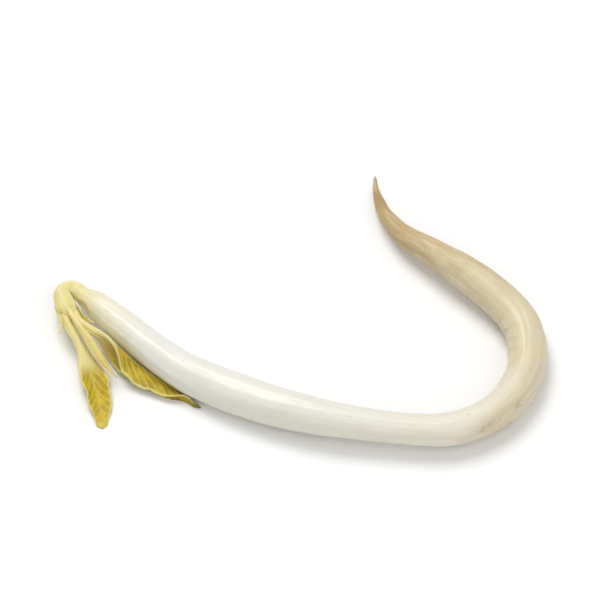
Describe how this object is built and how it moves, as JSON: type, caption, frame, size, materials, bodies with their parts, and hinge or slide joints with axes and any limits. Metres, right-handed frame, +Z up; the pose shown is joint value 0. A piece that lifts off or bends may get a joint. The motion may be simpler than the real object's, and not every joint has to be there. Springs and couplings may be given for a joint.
{
  "type": "mung bean sprout",
  "caption": "Fresh mung bean sprout lying on its side: a plump white stem bent like a J, a tapering root, and a crooked neck with folded young leaves.",
  "frame": {"origin": "on the table, under the middle of the sprout's box", "axes": "+Z up from the table the sprout lies on; +X along the sprout's longest extent, from the leaves towards the bend; +Y from the bow of the stem towards the root's tip"},
  "size_m": [0.048, 0.0356, 0.0042],
  "materials": {
    "stem_flesh": "crisp white plant flesh, smooth and moist, slightly translucent",
    "root_skin": "beige to light brown root skin, dull, finely wrinkled",
    "neck_flesh": "pale yellow young shoot, smooth, translucent",
    "leaf": "soft yellow young leaf, finely veined, satin"
  },
  "bodies": {
    "root": {"stem": "stem_flesh", "root": "root_skin", "neck": "neck_flesh", "long_leaf": "leaf", "short_leaf": "leaf", "young_leaf": "neck_flesh", "long_leaf_stipule": "neck_flesh", "short_leaf_stipule": "neck_flesh"}
  },
  "joints": []
}
